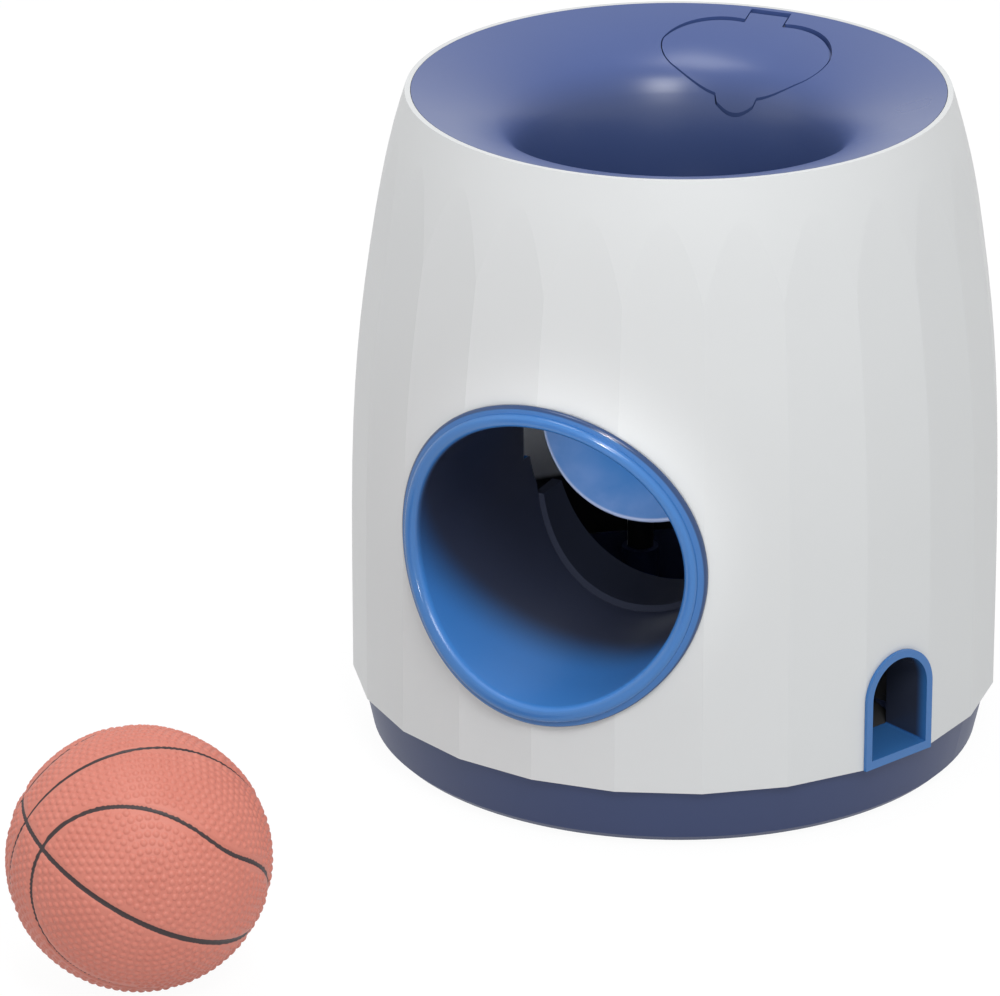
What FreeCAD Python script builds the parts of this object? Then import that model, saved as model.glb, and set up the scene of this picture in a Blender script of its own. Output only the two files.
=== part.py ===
import FreeCAD, Part
import math
import os

Vector = FreeCAD.Vector

# Frame: +Z up, origin on the floor under the middle of the base. The ball comes out towards -Y.
# Azimuths are degrees about +Z from the front (-Y) towards +X. Lengths are millimetres.
UP = Vector(0, 0, 1)
ALONG_X = Vector(1, 0, 0)
ORIGIN = Vector(0, 0, 0)

# Heights of the housing
foot_proud = 2.0
shell_bottom = 18.0
rim_height = 177.0

# Outer barrel: height and radius over the corners of its facets
barrel_points = [(8.0, 85.0), (18.0, 85.0), (52.0, 84.9), (92.0, 83.9), (132.0, 79.9),
                 (148.0, 77.1), (162.0, 74.0), (177.0, 69.7), (184.0, 67.4)]
facet_count = 24
facet_half_angle = 180.0 / facet_count
facet_cos = math.cos(math.radians(facet_half_angle))
facet_turn = -0.8
# The facets' corners against the barrel's radius at each of those heights: they fade out below the rim
corner_ratios = [1.0, 1.0, 1.0, 1.0, 1.0, 1.004, 1.010, 1.014, 1.014]
round_proud = 0.25
shell_wall = 2.2
ledge_thickness = 3.4
ledge_inner_radius = 65.4
rim_seat_radius = 68.55
rim_flange_thickness = 3.5

# Base pan
base_bottom_radius = 79.9
base_top_radius = 83.0
base_wall = 2.4
base_chamfer = 1.6
base_seam = 0.1
base_flange_thickness = 2.0
base_flange_radius = 81.4
foot_radius = 7.0
foot_recess = 1.2
foot_circle_radius = 62.0
foot_azimuths = (52.0, 128.0, 232.0, 308.0)

# Screws: head and shank of the two sizes
large_head_radius = 2.8
large_head_height = 1.9
large_shank_radius = 1.5
small_head_radius = 2.4
small_head_height = 1.6
small_shank_radius = 1.2
hole_clearance = 0.1
shell_boss_azimuths = (32.0, 122.0, 212.0, 302.0)
shell_boss_circle = 70.5
shell_boss_top = 36.0

# Trumpet of the funnel: radius and height of its upper surface, from rim to throat
trumpet_points = [(68.4, 177.0), (63.5, 175.65), (58.5, 174.05), (53.5, 172.1), (49.5, 170.1),
                  (46.0, 167.7), (43.0, 164.3), (40.6, 159.6), (38.7, 153.8), (37.4, 147.4),
                  (36.7, 140.8), (36.5, 134.0)]
throat_radius = 36.5
throat_bottom = 119.0
funnel_wall = 2.2

# Fill lid in the back slope of the funnel; its middle line is turned from +Y about the barrel's axis
lid_turn = 3.0
lid_thickness = 1.7
lid_gap = 0.35
lid_ledge = 2.6
neck_half_width = 5.6
neck_end = 66.6
neck_swing = 2.8
lid_swing_room = 1.1
slot_back = 67.3
tray_end = 68.2
lid_axis_y = 64.2
lid_axis_z = 173.7
lid_pin_radius = 0.8
lid_hub_radius = 1.9

# Ball, and the tube that it rolls out of
ball_radius = 32.5
ball_wall = 3.0
ball_centre = Vector(-54.4, -193.3, 32.5)
chute_slope = 2.5
chute_bore = 36.8
chute_wall = 2.0
mouth_height = 76.5
mouth_front = -85.0
flange_radius = 42.4
flange_proud = 1.7
flange_seat = 0.3
flange_shadow_gap = 0.6
flange_neck_radius = 41.4
bead_radius = 40.6
bead_proud = 3.0
# Radius from the chute's axis, height over the barrel and rounding of each rolled edge
rolled_edges = [(chute_bore, bead_proud, 2.5), (bead_radius, bead_proud, 1.1), (flange_radius, flange_proud, 0.9)]
shell_opening_radius = 40.2
chute_end_bottom = -28.9
chute_end_lean = 32.0
chute_end_back = -12.5
throat_cut_radius = 39.8
cradle_bore = 35.4
cradle_wall = 2.4
cradle_end_bottom = -10.5
cradle_end_lean = 17.0
cradle_top = 64.0

# Treat outlet arch, centred on a facet
outlet_azimuth = 67.5 + facet_turn
arch_centre_height = 36.7
arch_flange_half = 11.5
arch_body_half = 10.6
arch_tunnel_half = 9.5
arch_inner_face = 70.6
arch_flange_thickness = 1.0
sill_height = 20.3

# Helical treat slide
slide_inner = 56.0
slide_outer = 76.0
slide_wall = 1.6
slide_side = 10.0
slide_start = 192.0
slide_end = 77.2
slide_high_azimuth = 180.0
slide_high = 80.0
slide_low = 26.0
slide_sections = 15

# Trigger and metering drum on parallel shafts
trigger_y = 43.0
drum_y = 61.0
shaft_height = 112.0
shaft_radius = 2.0
shaft_flat = 1.4
shaft_clearance = 0.05
dish_centre = Vector(0.0, -10.0, 96.0)
dish_radius = 32.0
dish_depth = 6.0
dish_wall = 1.8
dish_tilt = 58.0
arm_x = 17.5
arm_width = 5.0
hub_radius = 4.5
gear_module = 1.0
trigger_teeth = 24
drum_teeth = 12
pressure_angle = 25.0
gear_near = 20.5
gear_width = 4.0
drum_radius = 12.6
drum_half_length = 12.0
pocket_half_length = 9.5
pocket_half_width = 8.0
pocket_floor = 4.5

# Hopper and the two cheeks under the funnel
hopper_half_width = 26.0
hopper_front = 40.9
hopper_back = 59.5
hopper_wall = 2.2
hopper_top = 176.0
hopper_shoulder = 150.0
spout_half_width = 12.3
spout_front = 52.2
spout_back = 69.8
spout_shoulder = 130.0
spout_bottom = 121.0
cheek_near = 26.15
cheek_thickness = 2.4
bush_radius = 3.45
bush_flange_radius = 4.8
bush_flange = 1.0


def cylinder(radius, length, start, direction=UP):
    return Part.makeCylinder(radius, length, start, direction)


def box(low, high):
    return Part.makeBox(high[0] - low[0], high[1] - low[1], high[2] - low[2], Vector(*low))


def polygon(points):
    """Flat face through the points."""
    return Part.Face(Part.makePolygon(points + [points[0]]))


def prism_along_x(points, low, high):
    """Solid of a (y, z) outline between two X values."""
    face = polygon([Vector(low, y, z) for y, z in points])
    return face.extrude(Vector(high - low, 0, 0))


def spline(points):
    curve = Part.BSplineCurve()
    curve.interpolate(points)
    return curve.toShape()


def revolved(edges):
    """Solid of revolution about Z of a closed outline in the XZ plane."""
    face = Part.Face(Part.Wire(edges))
    return face.revolve(ORIGIN, UP, 360)


def line(start, end):
    return Part.makeLine(Vector(start[0], 0, start[1]), Vector(end[0], 0, end[1]))


def revolved_polygon(points):
    return revolved([line(a, b) for a, b in zip(points, points[1:] + points[:1])])


def turned(shape, azimuth):
    """Copy of a shape made at the front, carried round to an azimuth."""
    copy = shape.copy()
    copy.rotate(ORIGIN, UP, azimuth)
    return copy


def place_at(azimuth, radius, height=0.0):
    angle = math.radians(azimuth)
    return Vector(radius * math.sin(angle), -radius * math.cos(angle), height)


def fused(first, *others):
    return first.fuse(list(others)).removeSplitter()


def mirrored_x(shape):
    return shape.mirror(ORIGIN, ALONG_X)


def barrel(offset, low, high):
    """Round barrel body, its wall moved out by offset, between two heights."""
    wall = [(radius + offset, height) for height, radius in barrel_points]
    bottom = barrel_points[0][0]
    top = barrel_points[-1][0]
    side = spline([Vector(radius, 0, height) for radius, height in wall])
    body = revolved([line((0, bottom), wall[0]), side, line(wall[-1], (0, top)),
                     line((0, top), (0, bottom))])
    slab = cylinder(barrel_points[0][1] + abs(offset) + 10, high - low, Vector(0, 0, low))
    return body.common(slab)


def facet_body():
    """Lofted prism whose flats cut the round barrel."""
    sections = []
    for (height, radius), ratio in zip(barrel_points, corner_ratios):
        corners = [place_at(facet_turn + k * 2 * facet_half_angle, radius * ratio, height)
                   for k in range(facet_count)]
        sections.append(Part.makePolygon(corners + corners[:1]))
    return Part.makeLoft(sections, True, False)


def chute_direction():
    """Unit vector down the chute, out of the mouth."""
    slope = math.radians(chute_slope)
    return Vector(0, -math.cos(slope), -math.sin(slope))


def along_chute(radius, front, back):
    """Cylinder about the chute's axis between two distances behind the mouth."""
    inward = chute_direction() * -1
    mouth = Vector(0, mouth_front, mouth_height)
    return cylinder(radius, back - front, mouth + inward * front, inward)


def behind_plane(y_bottom, lean, height):
    """Half space behind a leaning plane that crosses the chute's floor at y_bottom."""
    rise = 120.0
    run = rise * math.tan(math.radians(lean))
    points = [(y_bottom - run, height - rise), (y_bottom + run, height + rise),
              (y_bottom + 200, height + rise), (y_bottom + 200, height - rise)]
    return prism_along_x(points, -60, 60)


def arch_prism(half_width, bottom, near, far):
    """Arch-shaped bar along the outlet's radius, between two radii."""
    top = Vector(0, -near, arch_centre_height + half_width)
    left = Vector(-half_width, -near, arch_centre_height)
    right = Vector(half_width, -near, arch_centre_height)
    low_left = Vector(-half_width, -near, bottom)
    low_right = Vector(half_width, -near, bottom)
    edges = [Part.Arc(left, top, right).toShape(), Part.makeLine(right, low_right),
             Part.makeLine(low_right, low_left), Part.makeLine(low_left, left)]
    bar = Part.Face(Part.Wire(edges)).extrude(Vector(0, -(far - near), 0))
    return turned(bar, outlet_azimuth)


def screw(head_at, direction, head_radius, head_height, shank_radius, length):
    """Pan head with its shank; head_at is the seat under the head."""
    head = cylinder(head_radius, head_height, head_at, direction * -1)
    shank = cylinder(shank_radius, length, head_at, direction)
    recess = box((-0.4, -1.5, -0.7), (0.4, 1.5, 0.7))
    recess = recess.fuse(box((-1.5, -0.4, -0.7), (1.5, 0.4, 0.7)))
    recess.Placement = FreeCAD.Placement(head_at - direction * head_height,
                                         FreeCAD.Rotation(UP, direction))
    return head.fuse(shank).cut(recess)


def large_screw(head_at, direction, length):
    return screw(head_at, direction, large_head_radius, large_head_height,
                 large_shank_radius, length)


def small_screw(head_at, direction, length):
    return screw(head_at, direction, small_head_radius, small_head_height,
                 small_shank_radius, length)


def make_outer_shell():
    """Faceted barrel with the rim seat, the two openings and four screw bosses."""
    outside = barrel(round_proud, shell_bottom, rim_height).common(facet_body())
    inset = -(barrel_points[0][1] * (1 - facet_cos) + shell_wall)
    seat_floor = rim_height - rim_flange_thickness
    ledge_floor = seat_floor - ledge_thickness
    shell = outside.cut(barrel(inset, shell_bottom - 5, ledge_floor))
    shell = shell.cut(cylinder(ledge_inner_radius, rim_height, Vector(0, 0, shell_bottom)))
    shell = shell.cut(cylinder(rim_seat_radius, rim_flange_thickness + 5, Vector(0, 0, seat_floor)))
    notch = box((-10.4, 60.0, ledge_floor - 1), (13.4, tray_end + 0.3, seat_floor + 0.1))
    shell = shell.cut(turned(notch, lid_turn))
    for azimuth in shell_boss_azimuths:
        height = shell_boss_top - shell_bottom - base_flange_thickness - 0.2
        low = shell_bottom + base_flange_thickness + 0.2
        boss = cylinder(3.6, height, Vector(0, -shell_boss_circle, low))
        web = box((-1.0, -83.0, low), (1.0, -shell_boss_circle, shell_boss_top))
        pilot = cylinder(large_shank_radius + hole_clearance, height, Vector(0, -shell_boss_circle, low))
        shell = shell.fuse(turned(boss.fuse(web), azimuth)).cut(turned(pilot, azimuth))
    shell = shell.cut(along_chute(shell_opening_radius, -20, 30))
    return shell.cut(arch_prism(arch_body_half + 0.2, shell_bottom - 5, arch_inner_face, 95))


def base_screw_places():
    return [place_at(azimuth, shell_boss_circle) for azimuth in shell_boss_azimuths]


slide_posts = [place_at(150.0, 66.0), place_at(104.0, 66.0)]
cradle_posts = [Vector(-11.0, -18.0, 0), Vector(11.0, -18.0, 0)]
pedestal_y = (-23.0, -13.0)
short_post_top = 8.0
short_seat = 5.6
tall_seat = 14.5


def make_base_pan():
    """Round pan with its flange under the shell, posts for the screws and pad recesses."""
    floor = foot_proud
    flange_low = shell_bottom - base_seam
    flange_top = flange_low + base_flange_thickness
    wall_height = flange_low - floor - base_chamfer
    pan = Part.makeCone(base_bottom_radius - base_chamfer, base_bottom_radius, base_chamfer,
                        Vector(0, 0, floor))
    pan = pan.fuse([Part.makeCone(base_bottom_radius, base_top_radius, wall_height,
                                  Vector(0, 0, floor + base_chamfer)),
                    cylinder(base_flange_radius, base_flange_thickness, Vector(0, 0, flange_low))])
    pan = pan.cut(Part.makeCone(base_bottom_radius - base_wall, base_top_radius - base_wall,
                                flange_top - floor - base_wall + 0.5, Vector(0, 0, floor + base_wall)))
    for place in base_screw_places():
        pan = pan.fuse(cylinder(5.0, flange_top - floor - 1, Vector(place.x, place.y, floor + 1)))
    for place in slide_posts + cradle_posts:
        pan = pan.fuse(cylinder(5.0, short_post_top - floor - 1, Vector(place.x, place.y, floor + 1)))
    for place in base_screw_places():
        pan = pan.cut(cylinder(large_head_radius + 0.3, tall_seat, Vector(place.x, place.y, 0)))
        pan = pan.cut(cylinder(large_shank_radius + 0.2, 30, Vector(place.x, place.y, 0)))
    for place in slide_posts + cradle_posts:
        pan = pan.cut(cylinder(small_head_radius + 0.3, short_seat, Vector(place.x, place.y, 0)))
        pan = pan.cut(cylinder(small_shank_radius + 0.2, 30, Vector(place.x, place.y, 0)))
    for place in foot_places():
        pan = pan.cut(cylinder(foot_radius + 0.1, foot_recess, Vector(place.x, place.y, floor)))
    return pan.cut(arch_prism(arch_body_half + 0.2, shell_bottom, arch_inner_face - 0.3, 95))


def foot_places():
    return [ORIGIN] + [place_at(azimuth, foot_circle_radius) for azimuth in foot_azimuths]


def make_rubber_feet():
    pads = []
    for place in foot_places():
        pad = cylinder(foot_radius, foot_proud + foot_recess, Vector(place.x, place.y, 0))
        pads.append(pad.makeChamfer(0.4, [pad.Edges[0], pad.Edges[2]]))
    return Part.makeCompound(pads)


def shifted(points, distance):
    """Points of the trumpet moved square to it, into the wall."""
    moved = []
    for index, (radius, height) in enumerate(points):
        before = points[max(index - 1, 0)]
        after = points[min(index + 1, len(points) - 1)]
        run = after[0] - before[0]
        rise = after[1] - before[1]
        size = math.hypot(run, rise)
        moved.append((radius - rise / size * distance, height + run / size * distance))
    return moved


def trumpet_layer(near, far):
    """Revolved layer between two depths under the trumpet's surface."""
    upper = shifted(trumpet_points, near)
    lower = shifted(trumpet_points, far)
    edges = [spline([Vector(r, 0, z) for r, z in upper]), line(upper[-1], lower[-1]),
             spline([Vector(r, 0, z) for r, z in lower]), line(lower[0], upper[0])]
    return revolved(edges)


def above_trumpet(depth):
    """Everything over the surface that lies depth under the trumpet."""
    lower = shifted(trumpet_points, depth)
    top = rim_height + 10
    edges = [spline([Vector(r, 0, z) for r, z in lower]),
             line(lower[-1], (lower[-1][0], throat_bottom - 10)),
             line((lower[-1][0], throat_bottom - 10), (0, throat_bottom - 10)),
             line((0, throat_bottom - 10), (0, top)), line((0, top), (lower[0][0], top)),
             line((lower[0][0], top), lower[0])]
    return revolved(edges)


def lid_outline(grow=0.0, rear=0.0):
    """Plan prism of the fill lid, its shoulders by the neck set back by rear."""
    def at(x, y):
        return Vector(x, y, 100)

    arcs = [((5.9, 40.8), (12.5, 41.0), (18.0, 41.8)), ((18.0, 41.8), (22.1, 44.3), (23.5, 48.6)),
            ((23.5, 48.6), (19.6 + 0.5 * rear, 55.6 + 0.6 * rear), (neck_half_width, 61.3 + rear))]
    lines = [(arcs[2][2], (neck_half_width, neck_end)), ((5.9, 40.8), (5.2, 40.0))]
    edges = []
    for side in (-1, 1):
        for start, middle, end in arcs:
            edges.append(Part.Arc(at(side * start[0], start[1]), at(side * middle[0], middle[1]),
                                  at(side * end[0], end[1])).toShape())
        for start, end in lines:
            edges.append(Part.makeLine(at(side * start[0], start[1]), at(side * end[0], end[1])))
    edges.append(Part.makeLine(at(neck_half_width, neck_end), at(-neck_half_width, neck_end)))
    edges.append(Part.Arc(at(5.2, 40.0), at(0, 39.4), at(-5.2, 40.0)).toShape())
    wire = Part.Wire(Part.__sortEdges__(edges))
    if grow:
        wire = wire.makeOffset2D(grow)
    return Part.Face(wire).extrude(Vector(0, 0, rim_height - 90))


def hinge_ears():
    ear = box((neck_half_width + 0.35, 61.4, 170.9), (neck_half_width + 4.2, 66.6, 175.0))
    return ear.fuse(mirrored_x(ear))


def lid_pin_hole(radius, low, high):
    """Cylinder about the lid's axis, before it is turned to its place."""
    return cylinder(radius, high - low, Vector(low, lid_axis_y, lid_axis_z), ALONG_X)


hopper_tab_x = 31.0
hopper_tab_y = 51.0
hopper_tab_top = 162.4


def funnel_body():
    """Rim flange, trumpet wall and throat."""
    lower = shifted(trumpet_points, funnel_wall)
    lower = [point for point in lower if point[0] < ledge_inner_radius - 1]
    outer_throat = lower[-1][0]
    flange_low = rim_height - rim_flange_thickness + 0.05
    flange_radius_out = rim_seat_radius - 0.15
    start = (flange_radius_out, rim_height)
    join = (ledge_inner_radius - 0.4, flange_low)
    upper = [start] + trumpet_points[1:]
    edges = [spline([Vector(r, 0, z) for r, z in upper]), line(upper[-1], (throat_radius, throat_bottom)),
             line((throat_radius, throat_bottom), (outer_throat, throat_bottom)),
             line((outer_throat, throat_bottom), lower[-1]),
             spline([Vector(r, 0, z) for r, z in lower]), line(lower[0], join),
             line(join, (flange_radius_out, flange_low)), line((flange_radius_out, flange_low), start)]
    return revolved(edges)


def snap_tabs():
    """Four hooks that hold the funnel under the shell's ledge."""
    seat = rim_height - rim_flange_thickness
    ledge_low = seat - ledge_thickness
    tab = box((-5, -(ledge_inner_radius - 0.5), ledge_low - 3), (5, -63.4, seat + 1.0))
    hook = box((-5, -(ledge_inner_radius + 1.2), ledge_low - 3), (5, -64.0, ledge_low - 0.2))
    one = tab.fuse(hook)
    return [turned(one, azimuth) for azimuth in (45.0, 135.0, 225.0, 315.0)]


def make_top_funnel():
    """Rim flange, trumpet and throat in one moulding, with the lid's seat and snap hooks."""
    tray = trumpet_layer(0.6, lid_thickness + 2.0).common(lid_outline(2.6))
    tray = tray.common(cylinder(tray_end, rim_height, ORIGIN))
    funnel = funnel_body().fuse(turned(tray.fuse(hinge_ears()), lid_turn))
    for side in (-1, 1):
        boss = cylinder(3.2, 13.0, Vector(side * hopper_tab_x, hopper_tab_y, hopper_tab_top))
        funnel = funnel.fuse(boss.cut(above_trumpet(1.0)))
    funnel = funnel.fuse(snap_tabs())
    recess = trumpet_layer(-3.0, lid_thickness + 0.3).common(lid_outline(0.0, lid_swing_room))
    slot = box((-neck_half_width, 59.5, 169.0), (neck_half_width, slot_back, 180.0))
    funnel = funnel.cut(turned(recess.fuse(slot).fuse(lid_pin_hole(lid_pin_radius + 0.02, -9.2, 13.0)), lid_turn))
    fill_hole = turned(lid_outline(-lid_ledge), lid_turn).common(box((-22, 42.8, 140), (22, 57.0, 180)))
    funnel = funnel.cut(fill_hole)
    for side in (-1, 1):
        pilot = cylinder(small_shank_radius + hole_clearance, 9.0,
                         Vector(side * hopper_tab_x, hopper_tab_y, hopper_tab_top - 0.5))
        funnel = funnel.cut(pilot)
    return funnel


def make_fill_lid():
    """Lid that continues the trumpet's surface, on its hub."""
    plate = trumpet_layer(0.0, lid_thickness).common(lid_outline(-lid_gap))
    half = neck_half_width - lid_gap
    swing = lid_pin_hole(neck_swing, -half - 1, half + 1)
    behind_axis = box((-half - 1, lid_axis_y, 160), (half + 1, lid_axis_y + 10, 190))
    plate = plate.cut(behind_axis.cut(swing))
    hub = lid_pin_hole(lid_hub_radius, -half, half)
    rib = box((-half, lid_axis_y - 2.6, lid_axis_z - 0.6), (half, lid_axis_y + 1.2, lid_axis_z + 2.2))
    rib = rib.cut(above_trumpet(0.4))
    lid = fused(plate, hub, rib).cut(lid_pin_hole(lid_pin_radius + shaft_clearance, -8.0, 8.0))
    return turned(lid, lid_turn)


def make_lid_hinge_pin():
    return turned(lid_pin_hole(lid_pin_radius, -9.0, 9.0), lid_turn)


def saddle(radius, proud, gap):
    """Ring blank about the chute's axis, from a gap over the barrel to its proud surface."""
    blank = barrel(proud, shell_bottom, rim_height).common(along_chute(radius, -20, 30))
    return blank.cut(barrel(gap, shell_bottom - 5, rim_height + 5))


def make_ball_chute():
    """Tube with a rolled bead on a low saddle flange, its top open under the throat."""
    bead = saddle(bead_radius, bead_proud, flange_seat)
    flange = saddle(flange_radius, flange_proud, flange_shadow_gap)
    neck = saddle(flange_neck_radius, flange_proud, flange_seat)
    tube = along_chute(chute_bore + chute_wall, -20, 95).common(barrel(1.0, shell_bottom, rim_height))
    tube = tube.cut(behind_plane(chute_end_bottom, chute_end_lean, mouth_height - chute_bore))
    tube = tube.cut(box((-60, chute_end_back, 0), (60, 60, 130)))
    tube = tube.cut(cylinder(throat_cut_radius, 60, Vector(0, 0, mouth_height - 3)))
    chute = bead.fuse([flange, neck, tube]).removeSplitter().cut(along_chute(chute_bore, -40, 100))
    for radius, proud, rounding in rolled_edges:
        chute = rounded_rim(chute, radius, proud, rounding)
    return chute


def rounded_rim(chute, rim_radius, proud, rounding):
    """Rolls the front edge that lies at one radius from the chute's axis."""
    edges = [edge for edge in chute.Edges if is_front_edge(edge, rim_radius, proud)]
    try:
        rounded = chute.makeFillet(rounding, edges)
    except Part.OCCError:
        return chute
    return rounded if rounded.isValid() else chute


def is_front_edge(edge, rim_radius, proud):
    """True for the edges of a front face, proud of the barrel, at a radius from the chute's axis."""
    middle = edge.valueAt((edge.FirstParameter + edge.LastParameter) / 2)
    inward = chute_direction() * -1
    offset = middle - Vector(0, mouth_front, mouth_height)
    radial = (offset - inward * offset.dot(inward)).Length
    away = math.hypot(middle.x, middle.y) - barrel_radius(middle.z) - proud
    return abs(radial - rim_radius) < 0.05 and abs(away) < 0.4


def barrel_radius(height):
    for (low, near), (high, far) in zip(barrel_points, barrel_points[1:]):
        if low <= height <= high:
            return near + (far - near) * (height - low) / (high - low)
    return barrel_points[-1][1]


def make_chute_ring():
    """Snap ring that holds the chute from inside the shell."""
    inset = -(barrel_points[0][1] * (1 - facet_cos) + shell_wall)
    layer = barrel(inset - 0.15, shell_bottom + 5, rim_height - 20)
    layer = layer.cut(barrel(inset - 2.4, shell_bottom, rim_height))
    ring = layer.common(along_chute(46.0, -20, 40))
    return ring.cut(along_chute(chute_bore + chute_wall + 0.1, -30, 60))


def make_ball_cradle():
    """Short half pipe behind the chute, on a pedestal screwed to the base."""
    pipe = along_chute(cradle_bore + cradle_wall, 40, 110)
    plane_height = mouth_height - chute_bore
    front = behind_plane(chute_end_bottom + 0.25, chute_end_lean, plane_height)
    rear = behind_plane(cradle_end_bottom, cradle_end_lean, plane_height)
    pipe = pipe.common(front).cut(rear).common(box((-50, -60, 10), (50, 60, cradle_top)))
    low_y, high_y = pedestal_y
    pedestal = box((-16, low_y, short_post_top), (16, high_y, 52))
    hollow = box((-6, low_y, short_post_top), (6, high_y, 34))
    cradle = pipe.fuse(pedestal).cut(hollow).cut(along_chute(cradle_bore, 0, 130))
    for place in cradle_posts:
        pilot = cylinder(small_shank_radius + hole_clearance, 12, Vector(place.x, place.y, short_post_top))
        cradle = cradle.cut(pilot)
    return cradle


def make_outlet_frame():
    """Arched frame with a flange on the facet, its tunnel and the sill."""
    flat = barrel_points[1][1] * facet_cos
    flange = arch_prism(arch_flange_half, shell_bottom, flat + 0.05, flat + arch_flange_thickness)
    body = arch_prism(arch_body_half, shell_bottom + 0.3, arch_inner_face, flat + 0.5)
    tunnel = arch_prism(arch_tunnel_half, sill_height, arch_inner_face - 5, 95)
    return fused(flange, body).cut(tunnel)


def slide_floor(azimuth):
    drop = (slide_high - slide_low) / (slide_high_azimuth - slide_end)
    return slide_high - drop * (slide_high_azimuth - azimuth)


def slide_section(azimuth):
    """U outline of the slide, upright in the plane of one azimuth."""
    floor = slide_floor(azimuth)
    outline = [(slide_inner - slide_wall, floor - slide_wall), (slide_outer + slide_wall, floor - slide_wall),
               (slide_outer + slide_wall, floor + slide_side), (slide_outer, floor + slide_side),
               (slide_outer, floor), (slide_inner, floor), (slide_inner, floor + slide_side),
               (slide_inner - slide_wall, floor + slide_side)]
    points = [place_at(azimuth, radius, height) for radius, height in outline]
    return Part.makePolygon(points + points[:1])


def make_treat_slide():
    """Spiral trough from the drum down to a tray behind the outlet, on two legs."""
    step = (slide_start - slide_end) / (slide_sections - 1)
    sections = [slide_section(slide_start - index * step) for index in range(slide_sections)]
    trough = Part.makeLoft(sections, True, False)
    floor = slide_floor(slide_start)
    wall = box((-0.8, -slide_outer - 0.5, floor - slide_wall), (0.8, -slide_inner + 0.5, floor + slide_side))
    trough = trough.fuse(turned(wall, slide_start))
    tray_near = slide_inner - 2 * slide_wall
    tray_far = arch_inner_face - 0.2
    rise = 5.8
    outline = [(-tray_near, sill_height + rise), (-tray_far, sill_height),
               (-tray_far, sill_height - slide_wall), (-tray_near, sill_height + rise - slide_wall)]
    tray = prism_along_x(outline, -12.2, 13.2)
    back = box((-12.2, -tray_near - slide_wall, sill_height + rise - slide_wall), (13.0, -tray_near, 38.0))
    side = box((-12.2, -tray_far, sill_height), (-10.6, -tray_near, 38.0))
    tray = tray.fuse(back).fuse(side)
    slide = trough.fuse(turned(tray, outlet_azimuth))
    for place, azimuth in zip(slide_posts, (150.0, 104.0)):
        leg_top = slide_floor(azimuth) - 0.5 * slide_wall
        leg = cylinder(3.4, leg_top - short_post_top, Vector(place.x, place.y, short_post_top))
        pilot = cylinder(small_shank_radius + hole_clearance, 12, Vector(place.x, place.y, short_post_top))
        slide = slide.fuse(leg).cut(pilot)
    return slide


def hopper_block(inset, low):
    """Tapered bin, shrunk by the wall for its inside."""
    def ring(half, front, back, height):
        corners = [(-half, front), (half, front), (half, back), (-half, back)]
        points = [Vector(x, y, height) for x, y in corners]
        return Part.makePolygon(points + points[:1])

    wide = (hopper_half_width - inset, hopper_front + inset, hopper_back - inset)
    narrow = (spout_half_width - inset, spout_front + inset, spout_back - inset)
    upper = box((-wide[0], wide[1], hopper_shoulder), (wide[0], wide[2], hopper_top))
    taper = Part.makeLoft([ring(*narrow, spout_shoulder), ring(*wide, hopper_shoulder)], True, True)
    spout = box((-narrow[0], narrow[1], low), (narrow[0], narrow[2], spout_shoulder))
    return fused(upper, taper, spout)


def make_treat_hopper():
    """Bin under the lid, open above, with its spout on the drum and two screw tabs."""
    hopper = hopper_block(0, spout_bottom)
    for side in (-1, 1):
        near = side * (hopper_half_width - 1)
        far = side * (hopper_tab_x + 3.4)
        tab = box((min(near, far), hopper_tab_y - 3.4, hopper_tab_top - 2.4),
                  (max(near, far), hopper_tab_y + 3.4, hopper_tab_top))
        hole = cylinder(small_shank_radius + 0.2, 10, Vector(side * hopper_tab_x, hopper_tab_y, 156))
        hopper = hopper.fuse(tab).cut(hole)
    hopper = hopper.cut(hopper_block(hopper_wall, spout_bottom - 5))
    hopper = hopper.cut(above_trumpet(lid_thickness + 2.4))
    drum_room = cylinder(drum_radius + 0.5, 60, Vector(-30, drum_y, shaft_height), ALONG_X)
    hopper = hopper.cut(drum_room)
    for place in cheek_screw_places():
        hole = cylinder(small_shank_radius + hole_clearance, 80, Vector(-40, place[0], place[1]), ALONG_X)
        hopper = hopper.cut(hole)
    return hopper


def cheek_screw_places():
    return [(46.5, 155.0), (56.5, 155.0)]


def make_cheek(side):
    """Side plate that hangs from the hopper and carries both shafts."""
    outline = [(37.5, 106.0), (37.5, 118.0), (43.0, 150.0), (43.0, 160.0), (59.5, 160.0),
               (59.5, 150.0), (69.5, 122.0), (69.5, 104.0), (64.0, 99.0), (42.5, 99.0)]
    cheek = prism_along_x(outline, cheek_near, cheek_near + cheek_thickness)
    for y in (trigger_y, drum_y):
        cheek = cheek.cut(cylinder(bush_radius + 0.05, 40, Vector(10, y, shaft_height), ALONG_X))
    for place in cheek_screw_places():
        hole = cylinder(small_shank_radius + hole_clearance, 40, Vector(10, place[0], place[1]), ALONG_X)
        cheek = cheek.cut(hole)
    if side < 0:
        cheek = mirrored_x(cheek)
        cheek = cheek.cut(cylinder(spring_wire + hole_clearance, 10, spring_anchor(-cheek_near + 3), ALONG_X * -1))
    return cheek


def make_bushes(y):
    """Pair of flanged bushes, one in each cheek."""
    start = Vector(cheek_near - bush_flange, y, shaft_height)
    bush = cylinder(bush_radius, bush_flange + cheek_thickness, start, ALONG_X)
    bush = bush.fuse(cylinder(bush_flange_radius, bush_flange - 0.05, start, ALONG_X))
    bush = bush.cut(cylinder(shaft_radius + shaft_clearance, 20, start - ALONG_X * 5, ALONG_X))
    return Part.makeCompound([bush, mirrored_x(bush)])


shaft_half_length = 31.5
flat_half_length = 24.6
clip_near = 28.8


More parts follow.
